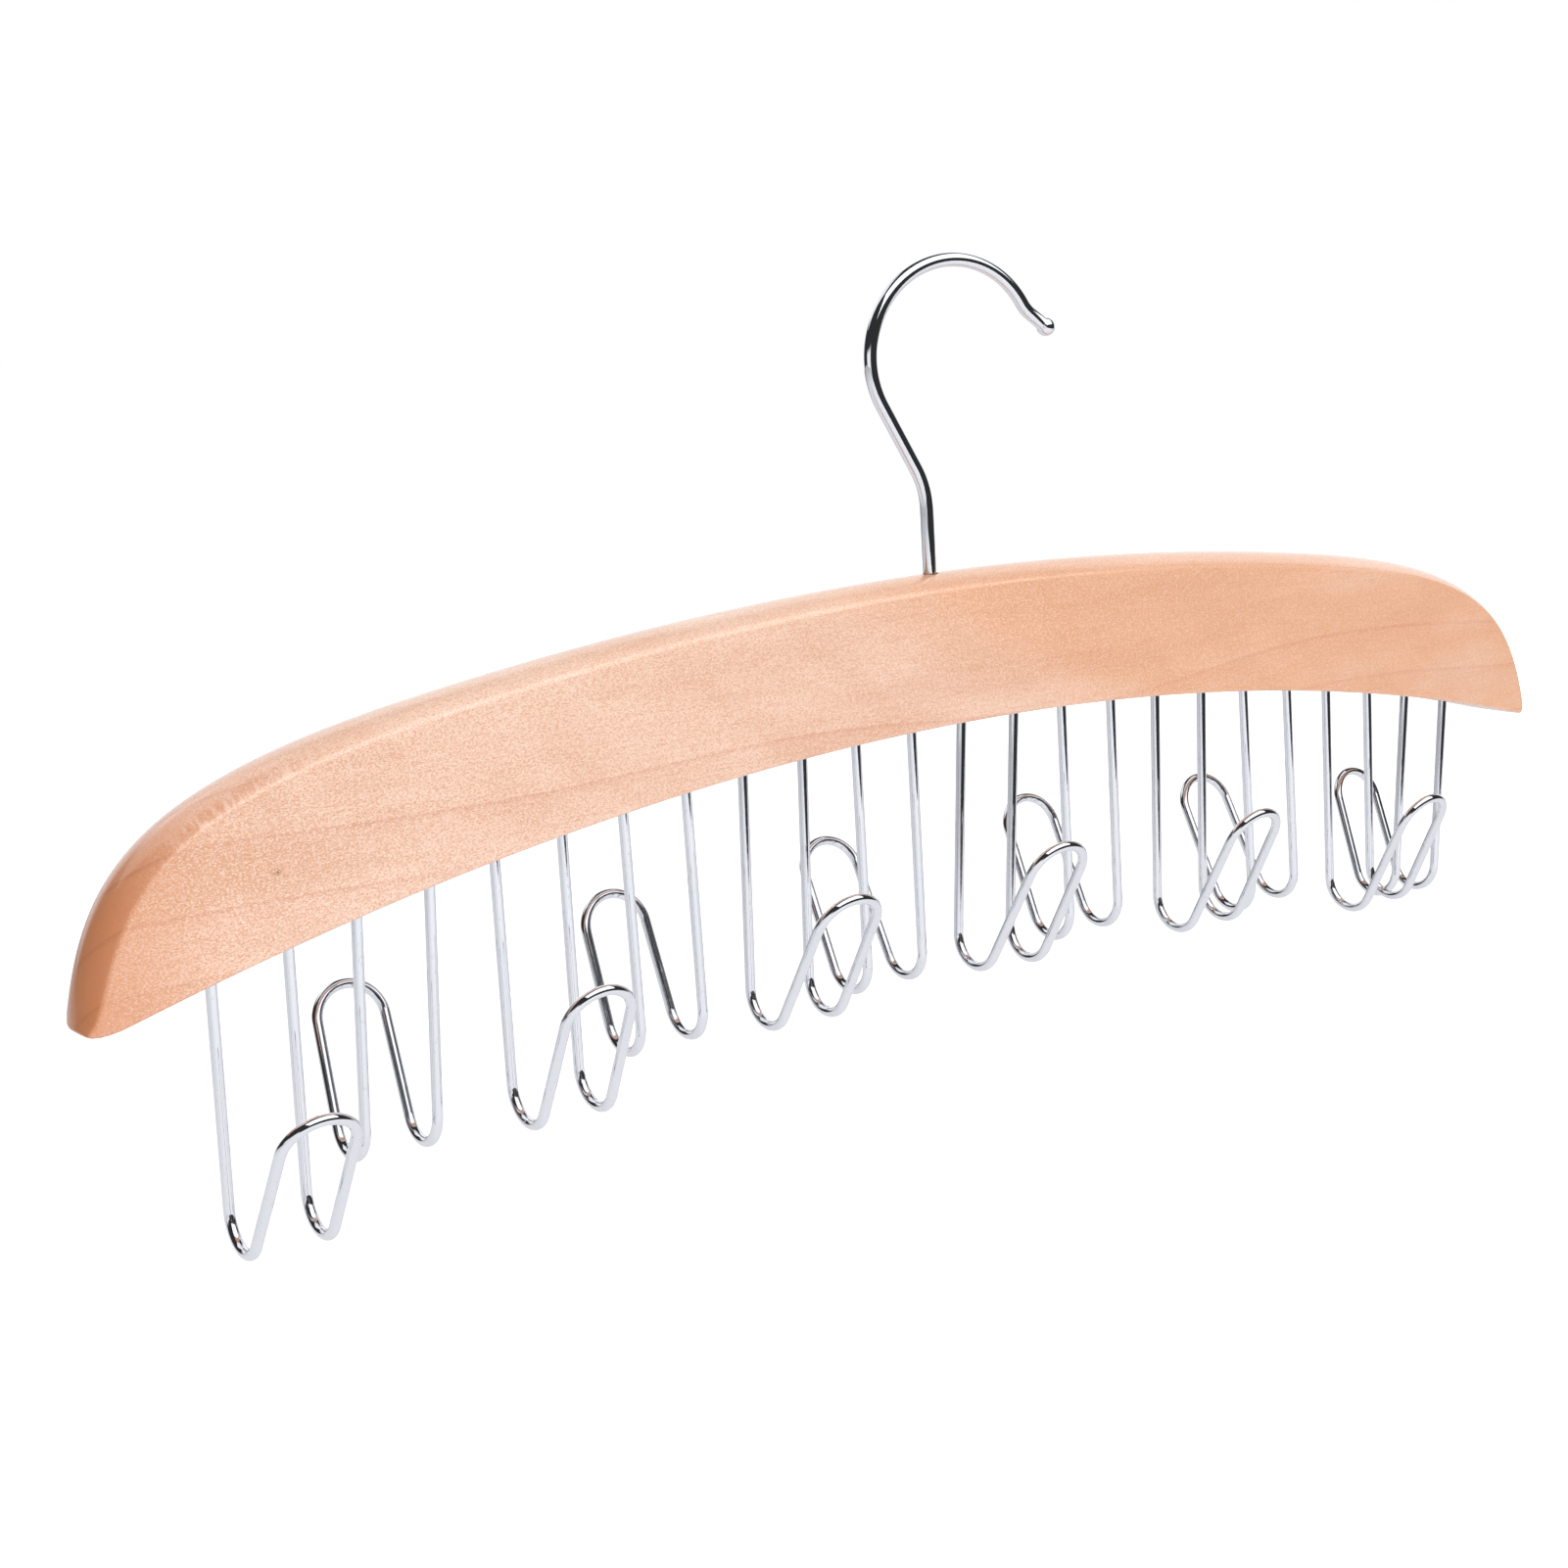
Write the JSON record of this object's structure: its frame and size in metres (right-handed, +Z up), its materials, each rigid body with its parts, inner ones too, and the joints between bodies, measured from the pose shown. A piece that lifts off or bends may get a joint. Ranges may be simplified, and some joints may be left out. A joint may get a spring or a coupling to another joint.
{
  "type": "belt hanger",
  "caption": "Arched wooden bar on a free-turning wire hook, with a row of bent wire belt hooks under it that point to the front and the back in turn.",
  "frame": {"origin": "inside top of the swivel hook's arc, where the wardrobe rod bears", "axes": "+X along the bar, +Y to the back, +Z up"},
  "size_m": [0.4474, 0.064, 0.1979],
  "materials": {
    "lacquered_maple": "clear satin lacquer",
    "chrome_plated_wire": "polished",
    "zinc_plated_steel": "dull plated"
  },
  "bodies": {
    "hook": {"swivel_hook": "chrome_plated_wire", "swivel_washer": "zinc_plated_steel", "swivel_nut": "zinc_plated_steel"},
    "bar": {"hanger_bar": "lacquered_maple", "belt_hook_01": "chrome_plated_wire", "belt_hook_02": "chrome_plated_wire", "belt_hook_03": "chrome_plated_wire", "belt_hook_04": "chrome_plated_wire", "belt_hook_05": "chrome_plated_wire", "belt_hook_06": "chrome_plated_wire", "belt_hook_07": "chrome_plated_wire", "belt_hook_08": "chrome_plated_wire", "belt_hook_09": "chrome_plated_wire", "belt_hook_10": "chrome_plated_wire", "belt_hook_11": "chrome_plated_wire", "belt_hook_12": "chrome_plated_wire"}
  },
  "joints": [
    {"name": "bar_swivel", "type": "hinge", "parent": "hook", "child": "bar", "pos_m": [-0.00936, 0.00165, -0.09], "axis": [0, 0, 1], "continuous": true}
  ]
}
